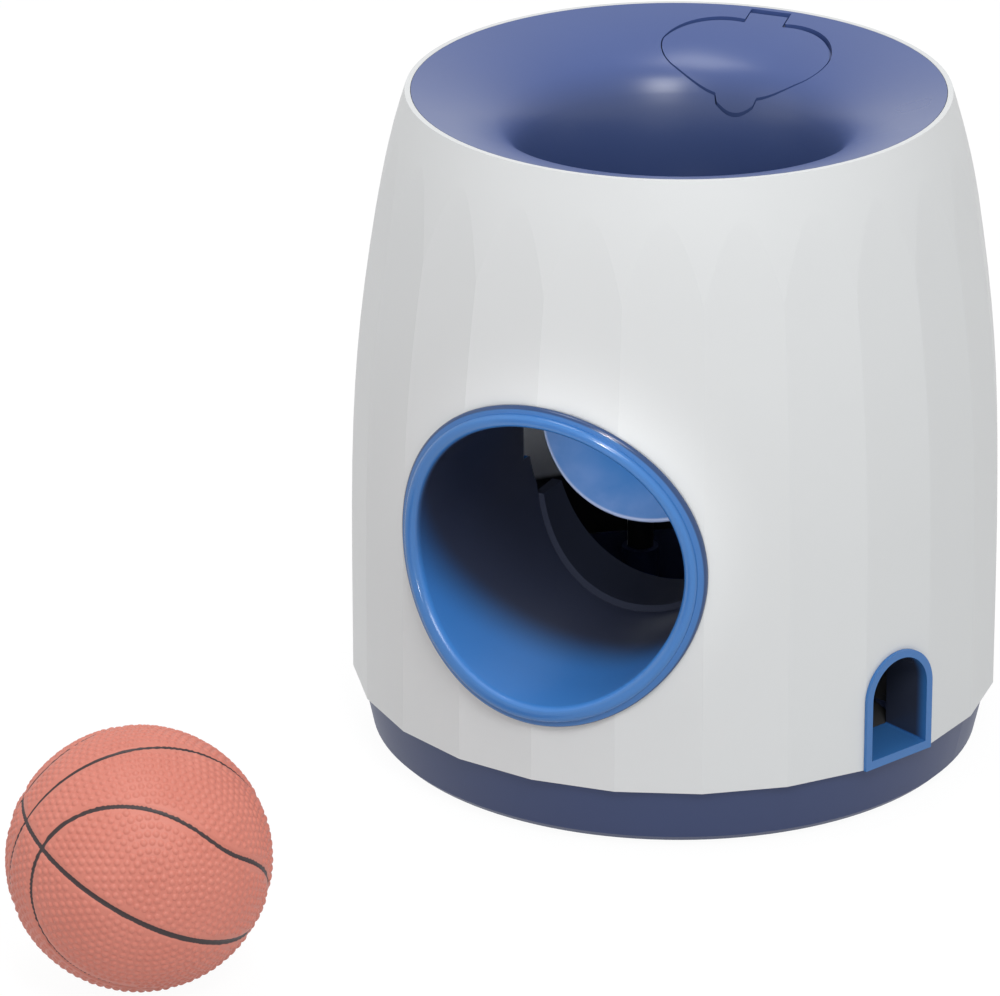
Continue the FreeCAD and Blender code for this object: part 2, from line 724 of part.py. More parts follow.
def make_shaft(y):
    """Steel shaft with a flat between the cheeks and a groove for each clip."""
    start = Vector(-shaft_half_length, y, shaft_height)
    shaft = cylinder(shaft_radius, 2 * shaft_half_length, start, ALONG_X)
    flat = box((-flat_half_length, y - 3, shaft_height + shaft_flat), (flat_half_length, y + 3, shaft_height + 5))
    shaft = shaft.cut(flat)
    groove = cylinder(3.0, 0.8, Vector(clip_near, y, shaft_height), ALONG_X)
    groove = groove.cut(cylinder(1.5, 0.8, Vector(clip_near, y, shaft_height), ALONG_X))
    return shaft.cut(groove).cut(mirrored_x(groove))


def make_clips(y):
    """Open retaining clips in the shaft's grooves."""
    start = Vector(clip_near + 0.1, y, shaft_height)
    clip = cylinder(3.4, 0.6, start, ALONG_X).cut(cylinder(1.55, 0.6, start, ALONG_X))
    gap = box((clip_near, y - 1.3, shaft_height), (clip_near + 1, y + 1.3, shaft_height + 5))
    clip = clip.cut(gap)
    return Part.makeCompound([clip, mirrored_x(clip)])


def shaft_bore(y, low, high):
    """Bore with a flat that keys a hub to the shaft."""
    bore = cylinder(shaft_radius + shaft_clearance, high - low, Vector(low, y, shaft_height), ALONG_X)
    limit = shaft_height + shaft_flat + shaft_clearance
    return bore.cut(box((low, y - 3, limit), (high, y + 3, limit + 5)))


def make_trigger_paddle():
    """Shallow dish under the throat on two arms that turn about the front shaft."""
    sphere = (dish_radius ** 2 + dish_depth ** 2) / (2 * dish_depth)
    middle = Vector(0, 0, sphere - dish_depth)
    hollow = Part.makeSphere(sphere, middle)
    dish = Part.makeSphere(sphere + dish_wall, middle).common(cylinder(dish_radius, 10, Vector(0, 0, -10)))
    dish = dish.fuse(Part.makeTorus(dish_radius, 1.3, Vector(0, 0, -0.6), UP))
    tilt = FreeCAD.Placement(dish_centre, FreeCAD.Rotation(ALONG_X, dish_tilt))
    dish.Placement = tilt
    hollow.Placement = tilt
    outline = [(trigger_y, shaft_height + 3.4), (3.4, 120.2), (0.5, 118.8), (0.0, 111.0), (3.0, 110.0),
               (trigger_y, shaft_height - 3.4)]
    arm = prism_along_x(outline, arm_x - arm_width / 2, arm_x + arm_width / 2)
    hub = cylinder(hub_radius, arm_width, Vector(arm_x - arm_width / 2, trigger_y, shaft_height), ALONG_X)
    arm = arm.fuse(hub)
    paddle = fused(dish, arm, mirrored_x(arm)).cut(hollow)
    return paddle.cut(shaft_bore(trigger_y, -30, 30))


def involute(base, radius):
    """Roll angle and polar angle of the involute point at a radius."""
    roll = math.sqrt(max(radius * radius / (base * base) - 1, 0))
    return roll - math.atan(roll)


def gear_blank(teeth, first_angle, backlash=0.06):
    """Spur gear about the origin in the YZ plane; first_angle turns one tooth's middle from +Y."""
    pitch = gear_module * teeth / 2
    base = pitch * math.cos(math.radians(pressure_angle))
    tip = pitch + 0.95 * gear_module
    root = pitch - 1.2 * gear_module
    half_at_pitch = math.pi / (2 * teeth) - backlash / pitch
    start = max(base, root)
    radii = [start + (tip - start) * k / 5 for k in range(6)]
    points = []
    for tooth in range(teeth):
        middle = math.radians(first_angle) + 2 * math.pi * tooth / teeth
        flank = [(radius, half_at_pitch + involute(base, pitch) - involute(base, radius)) for radius in radii]
        left = [(radius, middle - half) for radius, half in flank]
        right = [(radius, middle + half) for radius, half in reversed(flank)]
        ends = [(root, left[0][1])] + left + right + [(root, right[-1][1])]
        if root >= base:
            ends = left + right
        points += [Vector(0, r * math.cos(angle), r * math.sin(angle)) for r, angle in ends]
    return polygon(points).extrude(Vector(gear_width, 0, 0))


def make_trigger_gear():
    """Toothed quadrant on the trigger's shaft."""
    gear = gear_blank(trigger_teeth, 0.0)
    reach = 20.0
    wedge = prism_along_x([(0, 0), (reach * math.cos(math.radians(32)), reach * math.sin(math.radians(32))),
                           (reach, -2), (reach, -reach), (-2, -reach), (-0.5 * reach, -reach)], 0, gear_width)
    hub = cylinder(hub_radius, gear_width, ORIGIN, ALONG_X)
    gear = fused(gear.common(wedge), hub)
    gear.translate(Vector(gear_near, trigger_y, shaft_height))
    return gear.cut(shaft_bore(trigger_y, 10, 30))


def make_drum_gear():
    """Pinion on the drum's shaft."""
    gear = gear_blank(drum_teeth, 180.0 + 180.0 / drum_teeth)
    gear.translate(Vector(gear_near, drum_y, shaft_height))
    return gear.cut(shaft_bore(drum_y, 10, 30))


def make_metering_drum():
    """Drum with one pocket that faces up under the spout at rest."""
    start = Vector(-drum_half_length, drum_y, shaft_height)
    drum = cylinder(drum_radius, 2 * drum_half_length, start, ALONG_X)
    drum = drum.fuse(cylinder(hub_radius, drum_half_length + 7.6, Vector(0, drum_y, shaft_height), ALONG_X))
    pocket = box((-pocket_half_length, drum_y - pocket_half_width, shaft_height + pocket_floor),
                 (pocket_half_length, drum_y + pocket_half_width, shaft_height + 20))
    return drum.cut(pocket).cut(shaft_bore(drum_y, -30, 30))


spring_radius = 3.5
spring_wire = 0.4
spring_near = -20.95
spring_turns = 4
spring_pitch = 0.88
spring_anchor_rise = 10.0
spring_hook_radius = 0.36
spring_anchor_reach = 3.4


def spring_anchor(x):
    """Where the spring's upper leg turns into the cheek."""
    return Vector(x, trigger_y + spring_radius, shaft_height + spring_anchor_rise)


def make_return_spring():
    """Torsion spring round the front shaft, one leg hooked into the left cheek, one beside the arm."""
    helix = Part.makeHelix(spring_pitch, spring_pitch * spring_turns, spring_radius)
    start = Vector(spring_radius, 0, 0)
    section = Part.Wire(Part.makeCircle(spring_wire, start, Vector(0, 1, 0)))
    coil = Part.Wire(helix.Edges).makePipeShell([section], True, True)
    coil.rotate(ORIGIN, Vector(0, 1, 0), -90)
    coil.rotate(ORIGIN, ALONG_X, 90)
    coil.translate(Vector(spring_near, trigger_y, shaft_height))
    ends = sorted(edge_middle(edge).x for edge in coil.Edges)
    far_x = ends[0] + spring_wire
    rise = spring_anchor_rise + spring_wire
    far_leg = cylinder(spring_wire, rise, Vector(far_x, trigger_y + spring_radius, shaft_height))
    hook = cylinder(spring_hook_radius, spring_anchor_reach, spring_anchor(far_x), ALONG_X * -1)
    near_leg = cylinder(spring_wire, 14.0, Vector(spring_near, trigger_y, shaft_height - spring_radius),
                        Vector(0, -1, 0))
    return Part.makeCompound([coil.fuse([far_leg, hook, near_leg])])


def edge_middle(edge):
    return edge.valueAt((edge.FirstParameter + edge.LastParameter) / 2)


def make_paddle_buffers():
    """Soft stops on the throat's lower edge that the arms rest against."""
    pads = []
    for side in (-1, 1):
        x = side * arm_x
        low = shaft_height + 5.05
        pads.append(box((x - 2.0, 32.6, low), (x + 2.0, 34.9, throat_bottom - 0.05)))
    return Part.makeCompound(pads)


def make_play_ball():
    """Hollow moulded ball with its small vent."""
    shell = Part.makeSphere(ball_radius, ball_centre).cut(Part.makeSphere(ball_radius - ball_wall, ball_centre))
    vent = cylinder(1.2, 20, ball_centre + Vector(0, ball_radius - 10, 0), Vector(0, 1, 0))
    return shell.cut(vent)


def make_base_screws():
    return Part.makeCompound([large_screw(Vector(p.x, p.y, tall_seat), UP, 17.0) for p in base_screw_places()])


def make_floor_screws(places):
    return Part.makeCompound([small_screw(Vector(p.x, p.y, short_seat), UP, 10.0) for p in places])


def make_hopper_screws():
    seat = hopper_tab_top - 2.4
    return Part.makeCompound([small_screw(Vector(side * hopper_tab_x, hopper_tab_y, seat), UP, 8.0)
                              for side in (-1, 1)])


def make_cheek_screws():
    screws = []
    for y, z in cheek_screw_places():
        head = Vector(cheek_near + cheek_thickness, y, z)
        one = small_screw(head, ALONG_X * -1, 4.4)
        screws += [one, mirrored_x(one)]
    return Part.makeCompound(screws)


def make_nodes():
    return {
        "outer_shell": make_outer_shell(),
        "base_pan": make_base_pan(),
        "rubber_feet": make_rubber_feet(),
        "base_screws": make_base_screws(),
        "top_funnel": make_top_funnel(),
        "fill_lid": make_fill_lid(),
        "lid_hinge_pin": make_lid_hinge_pin(),
        "ball_chute": make_ball_chute(),
        "chute_lock_ring": make_chute_ring(),
        "ball_cradle": make_ball_cradle(),
        "cradle_screws": make_floor_screws(cradle_posts),
        "treat_outlet_frame": make_outlet_frame(),
        "treat_slide": make_treat_slide(),
        "slide_screws": make_floor_screws(slide_posts),
        "treat_hopper": make_treat_hopper(),
        "hopper_screws": make_hopper_screws(),
        "left_cheek": make_cheek(-1),
        "right_cheek": make_cheek(1),
        "cheek_screws": make_cheek_screws(),
        "trigger_bushes": make_bushes(trigger_y),
        "drum_bushes": make_bushes(drum_y),
        "trigger_paddle": make_trigger_paddle(),
        "trigger_shaft": make_shaft(trigger_y),
        "trigger_shaft_clips": make_clips(trigger_y),
        "trigger_gear": make_trigger_gear(),
        "return_spring": make_return_spring(),
        "paddle_buffers": make_paddle_buffers(),
        "metering_drum": make_metering_drum(),
        "drum_shaft": make_shaft(drum_y),
        "drum_shaft_clips": make_clips(drum_y),
        "drum_gear": make_drum_gear(),
        "play_ball": make_play_ball(),
    }


os.makedirs("parts", exist_ok=True)
for node, shape in make_nodes().items():
    shape.exportStep("parts/" + node + ".step")
    print(node, len(shape.Solids), "solids, volume", round(shape.Volume / 1000, 2), "cm3",
          "" if shape.isValid() else "NOT VALID")
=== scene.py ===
import bmesh
import bpy
import math
import numpy as np
from mathutils import Matrix, Vector


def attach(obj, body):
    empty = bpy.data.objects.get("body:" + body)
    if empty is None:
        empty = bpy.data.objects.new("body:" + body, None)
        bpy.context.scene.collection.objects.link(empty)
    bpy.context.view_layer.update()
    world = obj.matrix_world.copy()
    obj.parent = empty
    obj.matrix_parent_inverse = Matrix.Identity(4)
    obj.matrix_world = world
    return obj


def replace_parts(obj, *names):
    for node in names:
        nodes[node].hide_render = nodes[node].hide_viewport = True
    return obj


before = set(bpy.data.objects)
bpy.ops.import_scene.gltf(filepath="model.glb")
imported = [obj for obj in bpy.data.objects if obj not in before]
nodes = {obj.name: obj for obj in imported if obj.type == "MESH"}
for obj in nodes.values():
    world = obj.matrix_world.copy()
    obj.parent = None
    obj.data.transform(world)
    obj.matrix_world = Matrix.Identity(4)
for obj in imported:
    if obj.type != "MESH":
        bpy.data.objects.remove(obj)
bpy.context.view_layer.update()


# The base pan: a shallow navy tray, injection moulded with a fine satin skin. It carries every
# post of the mechanism and closes the barrel from below.
class Wire:
    """A node socket that takes part in plain arithmetic."""

    def __init__(self, graph, socket):
        self.graph = graph
        self.socket = socket

    def math(self, operation, first, second=0.0):
        values = {0: first, 1: second}
        return self.graph.node("ShaderNodeMath", {"operation": operation}, values)["Value"]

    def __add__(self, other):
        return self.math("ADD", self, other)

    def __sub__(self, other):
        return self.math("SUBTRACT", self, other)

    def __rsub__(self, other):
        return self.math("SUBTRACT", other, self)

    def __mul__(self, other):
        return self.math("MULTIPLY", self, other)

    def __truediv__(self, other):
        return self.math("DIVIDE", self, other)

    def __rtruediv__(self, other):
        return self.math("DIVIDE", other, self)

    def __pow__(self, other):
        return self.math("POWER", self, other)

    def __rpow__(self, other):
        return self.math("POWER", other, self)

    def __abs__(self):
        return self.math("ABSOLUTE", self)

    __radd__ = __add__
    __rmul__ = __mul__

    def below(self, limit, soft):
        """1 well under the limit, 0 well over it, with a soft step between."""
        values = {"Value": self, "From Min": limit - soft, "From Max": limit + soft,
                  "To Min": 1.0, "To Max": 0.0}
        settings = {"interpolation_type": "SMOOTHSTEP"}
        return self.graph.node("ShaderNodeMapRange", settings, values)["Result"]


class Outputs:
    """The outputs of a node, by name."""

    def __init__(self, graph, made):
        self.graph = graph
        self.made = made

    def __getitem__(self, name):
        found = [s for s in self.made.outputs if s.name == name and s.enabled]
        return Wire(self.graph, found[0])


class Graph:
    """A node tree that is filled through one method."""

    def __init__(self, tree):
        self.tree = tree
        self.tree.nodes.clear()

    def node(self, kind, settings, values):
        made = self.tree.nodes.new(kind)
        for key, value in settings.items():
            setattr(made, key, value)
        for key, value in values.items():
            socket = made.inputs[key]
            if isinstance(value, Wire):
                self.tree.links.new(value.socket, socket)
            else:
                socket.default_value = value
        return Outputs(self, made)


class Finish(Graph):
    """One material and its node tree."""

    def __init__(self, name, colour, roughness, **fixed):
        self.material = bpy.data.materials.new(name)
        self.material.use_nodes = True
        super().__init__(self.material.node_tree)
        self.surface = self.node("ShaderNodeBsdfPrincipled", {}, {
            "Base Color": (*colour, 1.0), "Roughness": roughness, **fixed})
        self.last = self.node("ShaderNodeOutputMaterial", {}, {"Surface": self.surface["BSDF"]})
        self.place = self.node("ShaderNodeTexCoord", {}, {})["Object"]

    def feed(self, name, wire):
        self.tree.links.new(wire.socket, self.surface.made.inputs[name])

    def noise(self, size, detail=2.0):
        values = {"Vector": self.place, "Scale": 1.0 / size, "Detail": detail}
        return self.node("ShaderNodeTexNoise", {}, values)["Fac"]

    def tint(self, factor, first, second):
        values = {"Factor": factor, "A": first, "B": second}
        values = {key: value if isinstance(value, (Wire, float)) else (*value, 1.0)
                  for key, value in values.items()}
        return self.node("ShaderNodeMix", {"data_type": "RGBA"}, values)["Result"]

    def along(self, middle, axis):
        """Component of the place, taken from a middle, along an axis."""
        values = {0: self.place, 1: middle}
        moved = self.node("ShaderNodeVectorMath", {"operation": "SUBTRACT"}, values)
        values = {0: moved["Vector"], 1: axis}
        return self.node("ShaderNodeVectorMath", {"operation": "DOT_PRODUCT"}, values)["Value"]

    def relief(self, height, depth):
        values = {"Height": height, "Distance": depth, "Strength": 1.0}
        self.feed("Normal", self.node("ShaderNodeBump", {}, values)["Normal"])


def tinted(colour, factor):
    return tuple(min(1.0, c * factor) for c in colour)


def moulded(name, colour, roughness, grain=0.0004, depth=0.000012, cloud=0.04, **fixed):
    """Injection-moulded plastic: a fine even grain, and slow clouds in its tone and gloss."""
    cloud_size = 0.03
    gloss_spread = 0.10
    finish = Finish(name, colour, roughness, **fixed)
    slow = finish.noise(cloud_size, 3.0)
    finish.tone = finish.tint(slow, tinted(colour, 1 - cloud), tinted(colour, 1 + cloud))
    finish.feed("Base Color", finish.tone)
    finish.feed("Roughness", (slow - 0.5) * gloss_spread + roughness)
    if depth:
        finish.relief(finish.noise(grain), depth)
    return finish


def dress(finish, *names):
    for name in names:
        nodes[name].data.materials.clear()
        nodes[name].data.materials.append(finish.material)


pan_navy = (0.041, 0.060, 0.146)
dress(moulded("navy_satin_plastic", pan_navy, 0.46, **{"Specular IOR Level": 0.35}), "base_pan")

# The pads under the pan and the paddle's buffers: punched from black rubber sheet and glued in
# place, so they are matt and a little gritty.
rubber_black = (0.020, 0.020, 0.022)
pad_rubber = moulded("pad_rubber", rubber_black, 0.75, grain=0.0006, depth=0.00004)
dress(pad_rubber, "rubber_feet", "paddle_buffers")


# All screws, both shafts, their clips, the lid's pin and the return spring: zinc-plated or drawn
# steel with fine turning marks.
def plated_steel():
    finish = Finish("plated_steel", (0.62, 0.62, 0.63), 0.30, Metallic=1.0)
    mark_size = 0.00025
    marks = finish.noise(mark_size, 4.0)
    finish.feed("Roughness", marks * 0.20 + 0.20)
    finish.relief(marks, 0.000006)
    return finish


dress(plated_steel(), "base_screws", "cradle_screws", "slide_screws", "hopper_screws",
      "cheek_screws", "trigger_shaft", "trigger_shaft_clips", "drum_shaft", "drum_shaft_clips",
      "lid_hinge_pin", "return_spring")

# The cradle and the lock ring: dull mouldings behind the tube, which the ball only brushes past.
# Their near-black navy is painted shade, for the shade behind the tube. The ring holds the tube
# from inside, and two screws hold the cradle.
# Painted shade: a near-black navy for the parts sitting in shade behind the tube.
cradle_shade_navy = (0.022, 0.027, 0.048)
shaded_navy = moulded("shaded_navy_plastic", cradle_shade_navy, 0.60, **{"Specular IOR Level": 0.15})
dress(shaded_navy, "ball_cradle", "chute_lock_ring")

# The works behind the tube: slide, hopper and both cheeks, moulded in black with a dull skin and
# held by screws of their own.
works_black = moulded("black_works_plastic", (0.045, 0.045, 0.046), 0.60)
dress(works_black, "treat_slide", "treat_hopper", "left_cheek", "right_cheek")

# Gears and bushes: natural white nylon, left as it comes from the mould. The gears turn with their
# shafts, and the bushes stand still in the cheeks.
natural_nylon = moulded("natural_nylon", (0.74, 0.73, 0.66), 0.45)
dress(natural_nylon, "trigger_gear", "drum_gear", "trigger_bushes", "drum_bushes")


# The tube with its rolled flange: bright blue plastic, polished on the flange and duller down the
# bore. A painted highlight brightens the bore, painted shade darkens it deeper in and higher up,
# and painted shade darkens the flange's outer step and outer edge.
def bright_blue(name, rough, **fixed):
    bright = (0.040, 0.165, 0.440)
    return moulded(name, bright, rough, grain=0.0006, depth=0.000001, cloud=0.03, **fixed)


tube_blue = bright_blue("bright_blue_tube", 0.24)
mouth = (0.0, -0.080, 0.0765)
bore_radius = 0.0374
roll_radius = 0.0407
step_radius = 0.0419
edge_shadow_blue, step_shade_blue = (0.016, 0.050, 0.150), (0.036, 0.148, 0.400)
bore_highlight_blue, bore_shade_blue = (0.050, 0.215, 0.590), (0.030, 0.037, 0.068)
bore_shade_slant = 0.56
bore_shade_depth, bore_shade_fade = 0.003, 0.011
inward = tube_blue.along(mouth, (0.0, 0.9990, 0.0436))
upward = tube_blue.along(mouth, (0.0, -0.0436, 0.9990))
aside = tube_blue.along(mouth, (1.0, 0.0, 0.0))
away = (upward * upward + aside * aside) ** 0.5
bore = away.below(bore_radius, 0.0005)
# Painted shade: darker deeper into the bore and higher up its wall.
bore_shade = (1.0 - (upward * bore_shade_slant + inward).below(bore_shade_depth, bore_shade_fade)) * bore
# Painted shade on the flange's outer step, and a painted shadow line along its outer edge.
step = tube_blue.tint(away.below(step_radius, 0.0002), edge_shadow_blue, step_shade_blue)
flange_shaded = tube_blue.tint(away.below(roll_radius, 0.0005), step, tube_blue.tone)
# Painted highlight: the whole bore is lighter than the tube's own blue.
bore_lit_flange_shaded = tube_blue.tint(bore, flange_shaded, bore_highlight_blue)
tube_blue.feed("Base Color", tube_blue.tint(bore_shade, bore_lit_flange_shaded, bore_shade_blue))
tube_blue.feed("Roughness", bore * 0.18 + 0.17)
dress(tube_blue, "ball_chute")

# The arch at the side, where the treats come out: moulded in the same blue, with painted shade on
# the tunnel walls behind its frame, above its sill.
origin = (0.0, 0.0, 0.0)
upright = (0.0, 0.0, 1.0)
arch_way = (0.9184, -0.3955, 0.0)
tunnel_start = 0.0830
sill_top = 0.0206
arch_blue = bright_blue("bright_blue_arch", 0.24)
tunnel = arch_blue.along(origin, arch_way).below(tunnel_start, 0.0018)
sill = arch_blue.along(origin, upright).below(sill_top, 0.0002)
# Painted shade: the tunnel behind the frame, above the sill, darkened to a near-black navy.
shade = arch_blue.tint(tunnel * (1.0 - sill), arch_blue.tone, (0.036, 0.044, 0.072))
arch_blue.feed("Base Color", shade)
dress(arch_blue, "treat_outlet_frame")

# The tipping dish and the drum: small blue mouldings with a high gloss. The dish carries painted
# glints, lighter in noisy patches towards its rim, and a painted highlight along its lip.
dish_middle = (0.0, -0.010, 0.096)
dish_radius = 0.0325
lip_highlight_radius = 0.0334
glint_radius, glint_fade = 0.0245, 0.0065
glint_size, glint_share = 0.009, 0.9
glint_blue, lip_highlight_blue = (0.200, 0.320, 0.620), (0.400, 0.480, 0.700)
dish_blue = bright_blue("glossy_blue_dish", 0.12, **{"Coat Weight": 1.0})
across = dish_blue.along(dish_middle, (1.0, 0.0, 0.0))
rise = dish_blue.along(dish_middle, (0.0, 0.530, 0.848))
out = (across * across + rise * rise) ** 0.5
inside = out.below(dish_radius, 0.0003)
# Painted highlight: a light band on the rim just outside the dish.
lip_highlight = out.below(lip_highlight_radius, 0.0003) * (1.0 - inside)
# Painted glints: lighter blue in noisy patches between the middle and the rim.
painted_glints = (1.0 - out.below(glint_radius, glint_fade)) * inside
painted_glints = painted_glints * dish_blue.noise(glint_size, 3.0) * glint_share
dish_with_glints = dish_blue.tint(painted_glints, dish_blue.tone, glint_blue)
dish_blue.feed("Base Color", dish_blue.tint(lip_highlight, dish_with_glints, lip_highlight_blue))
dress(dish_blue, "trigger_paddle")
dress(bright_blue("glossy_blue_drum", 0.12, **{"Coat Weight": 1.0}), "metering_drum")

# The barrel: one pale grey moulding with facets that fade out below the rim. Inside it is left
# rough from the mould, in a lighter grey than outside as painted light, with painted shade in
# black round the foot of the wall.
shell_grey = (0.690, 0.705, 0.712)
barrel_grey = moulded("shell_grey_plastic", shell_grey, 0.42, grain=0.0005, depth=0.000006,
                      cloud=0.010)
dress(barrel_grey, "outer_shell")
foot_shade_top = 0.0385
# Painted light: the inside is a lighter grey than the same plastic outside.
inner_wall = moulded("inner_wall_plastic", (0.800, 0.830, 0.880), 0.60)
# Painted shade: black round the foot of the inner wall.
foot_shade = inner_wall.along(origin, upright).below(foot_shade_top, 0.0010)
inner_wall.feed("Base Color", inner_wall.tint(foot_shade, inner_wall.tone, (0.012, 0.012, 0.013)))
barrel = nodes["outer_shell"].data
barrel.materials.append(inner_wall.material)
turned_inward = -0.010
rim_underside = 0.172
for facet in barrel.polygons:
    outward = facet.center.x * facet.normal.x + facet.center.y * facet.normal.y
    facet.material_index = int(outward < turned_inward and facet.center.z < rim_underside)

# The funnel and the lid in its back slope: violet-navy plastic with a softly polished skin. Low in
# the throat its colour is darkened as painted shade. The funnel snaps into the barrel's rim, and
# the lid turns on a steel pin.
violet = (0.060, 0.100, 0.280)
throat_shade_violet = (0.036, 0.056, 0.130)
throat_shade_top, throat_shade_fade, throat_shade_share = 0.1630, 0.0060, 0.60
funnel_violet = moulded("violet_polished_plastic", violet, 0.29, depth=0.0)
# Painted shade: the throat below its knee darkened to a deeper, greyer violet.
throat_shade = funnel_violet.along(origin, upright).below(throat_shade_top, throat_shade_fade) * throat_shade_share
funnel_violet.feed("Base Color", funnel_violet.tint(throat_shade, funnel_violet.tone, throat_shade_violet))
dress(funnel_violet, "top_funnel", "fill_lid")

# The ball: soft hollow rubber in coral, moulded with rings of round pebbles. Sunken seams, painted
# dark brown, part its eight panels.
ball_middle = np.array((-0.0544, -0.1933, 0.0325))
skin_radius = 0.03206
long_seam = np.array((0.4542, 0.2075, 0.8664))
cross_seam = np.array((-0.6613, 0.7334, 0.1575))
crossing = np.array((-0.6030, -0.6442, 0.4705))
seam_half_width = 0.00070
seam_depth = 0.00045
pebble_pitch = 0.00205
panel_middle = np.array((0.5453, -0.7912, 0.2768))


def lesser(first, second):
    return (first + second - abs(first - second)) * 0.5


def seam_distance(a, b, c, cross=1.3, bowed=1.0, taper=0.18):
    """Distance to the nearest seam for a place on the unit ball, on numbers or on wires alike."""
    least_bow, more_bow, bow_shift = 0.332, 0.388, 0.16
    pole_guard = 1.03
    shifted = c + bow_shift
    bow = least_bow + more_bow * a * a / (a * a + shifted * shifted)
    curved = abs(abs(b) - bow) / (pole_guard - b * b) ** 0.5
    nearest = lesser(lesser(abs(a), abs(b) * cross), curved * bowed)
    return nearest * (c * taper + 1.0) * skin_radius


def ball_finish():
    finish = Finish("coral_rubber", (0.60, 0.17, 0.12), 0.50)
    middle = tuple(ball_middle)
    axes = (long_seam, cross_seam, crossing)
    a, b, c = (finish.along(middle, tuple(axis)) / skin_radius for axis in axes)
    paint_waver, paint_edge = 0.00030, 0.00007
    ragged = (finish.noise(0.0022, 3.0) - 0.5) * paint_waver
    seam = (seam_distance(a, b, c) + ragged).below(seam_half_width, paint_edge)
    cloud = finish.noise(0.012, 4.0)
    coral = finish.tint(cloud, (0.59, 0.180, 0.130), (0.68, 0.235, 0.178))
    finish.feed("Base Color", finish.tint(seam, coral, (0.030, 0.018, 0.020)))
    finish.feed("Roughness", (cloud - 0.5) * 0.12 + 0.52)
    finish.relief(finish.noise(0.0006, 3.0), 0.00003)
    return finish.material


def solid(name, points, faces):
    """Smooth mesh object from plain lists, without a material yet."""
    mesh = bpy.data.meshes.new(name)
    mesh.from_pydata([tuple(p) for p in points], [], [tuple(f) for f in faces])
    mesh.shade_smooth()
    made = bpy.data.objects.new(name, mesh)
    bpy.context.scene.collection.objects.link(made)
    return made


def as_ball(made):
    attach(made, "ball")


def ball_body(material):
    ball = bmesh.new()
    bmesh.ops.create_icosphere(ball, subdivisions=7, radius=1.0)
    ways = np.array([v.co.normalized() for v in ball.verts])
    faces = [[v.index for v in f.verts] for f in ball.faces]
    ball.free()
    away = seam_distance(ways @ long_seam, ways @ cross_seam, ways @ crossing)
    groove_floor, groove_side = 0.00040, 0.00055
    share = np.clip((away - groove_floor) / groove_side, 0.0, 1.0)
    radius = skin_radius - seam_depth * (1.0 - share * share * (3.0 - 2.0 * share))
    made = solid("ball_body", ball_middle + ways * radius[:, None], faces)
    made.data.materials.append(material)
    as_ball(made)


def pebble_places():
    """Rings of places about the middle of a panel, clear of every seam."""
    seam_margin = 0.00165
    pitch = pebble_pitch / skin_radius
    side = np.cross(panel_middle, long_seam)
    side /= np.linalg.norm(side)
    third = np.cross(panel_middle, side)
    ways = []
    for ring in range(int(math.pi / pitch)):
        polar = (ring + 0.5) * pitch
        count = max(3, round(2 * math.pi * math.sin(polar) / pitch))
        turn = 2 * math.pi * (np.arange(count) + 0.5 * (ring % 2)) / count
        flat = np.outer(np.cos(turn), side) + np.outer(np.sin(turn), third)
        ways.append(math.cos(polar) * panel_middle + math.sin(polar) * flat)
    ways = np.concatenate(ways)
    away = seam_distance(ways @ long_seam, ways @ cross_seam, ways @ crossing, 1.0, 1.0, 0.0)
    return ball_middle + ways[away > seam_margin] * skin_radius


def pebble_dome():
    """Low round dome over the XY plane with its skirt under it."""
    profile = [(0.00044, 0.00034), (0.00082, 0.00014), (0.00110, -0.00012)]
    sides = 8
    top_height = 0.00040
    points = [(0.0, 0.0, top_height)]
    for radius, height in profile:
        for step in range(sides):
            angle = 2 * math.pi * step / sides
            points.append((radius * math.cos(angle), radius * math.sin(angle), height))
    faces = [(0, 1 + k, 1 + (k + 1) % sides) for k in range(sides)]
    for ring in range(len(profile) - 1):
        low = 1 + ring * sides
        for k in range(sides):
            after = (k + 1) % sides
            faces.append((low + k, low + sides + k, low + sides + after, low + after))
    return solid("pebble_dome", points, faces)


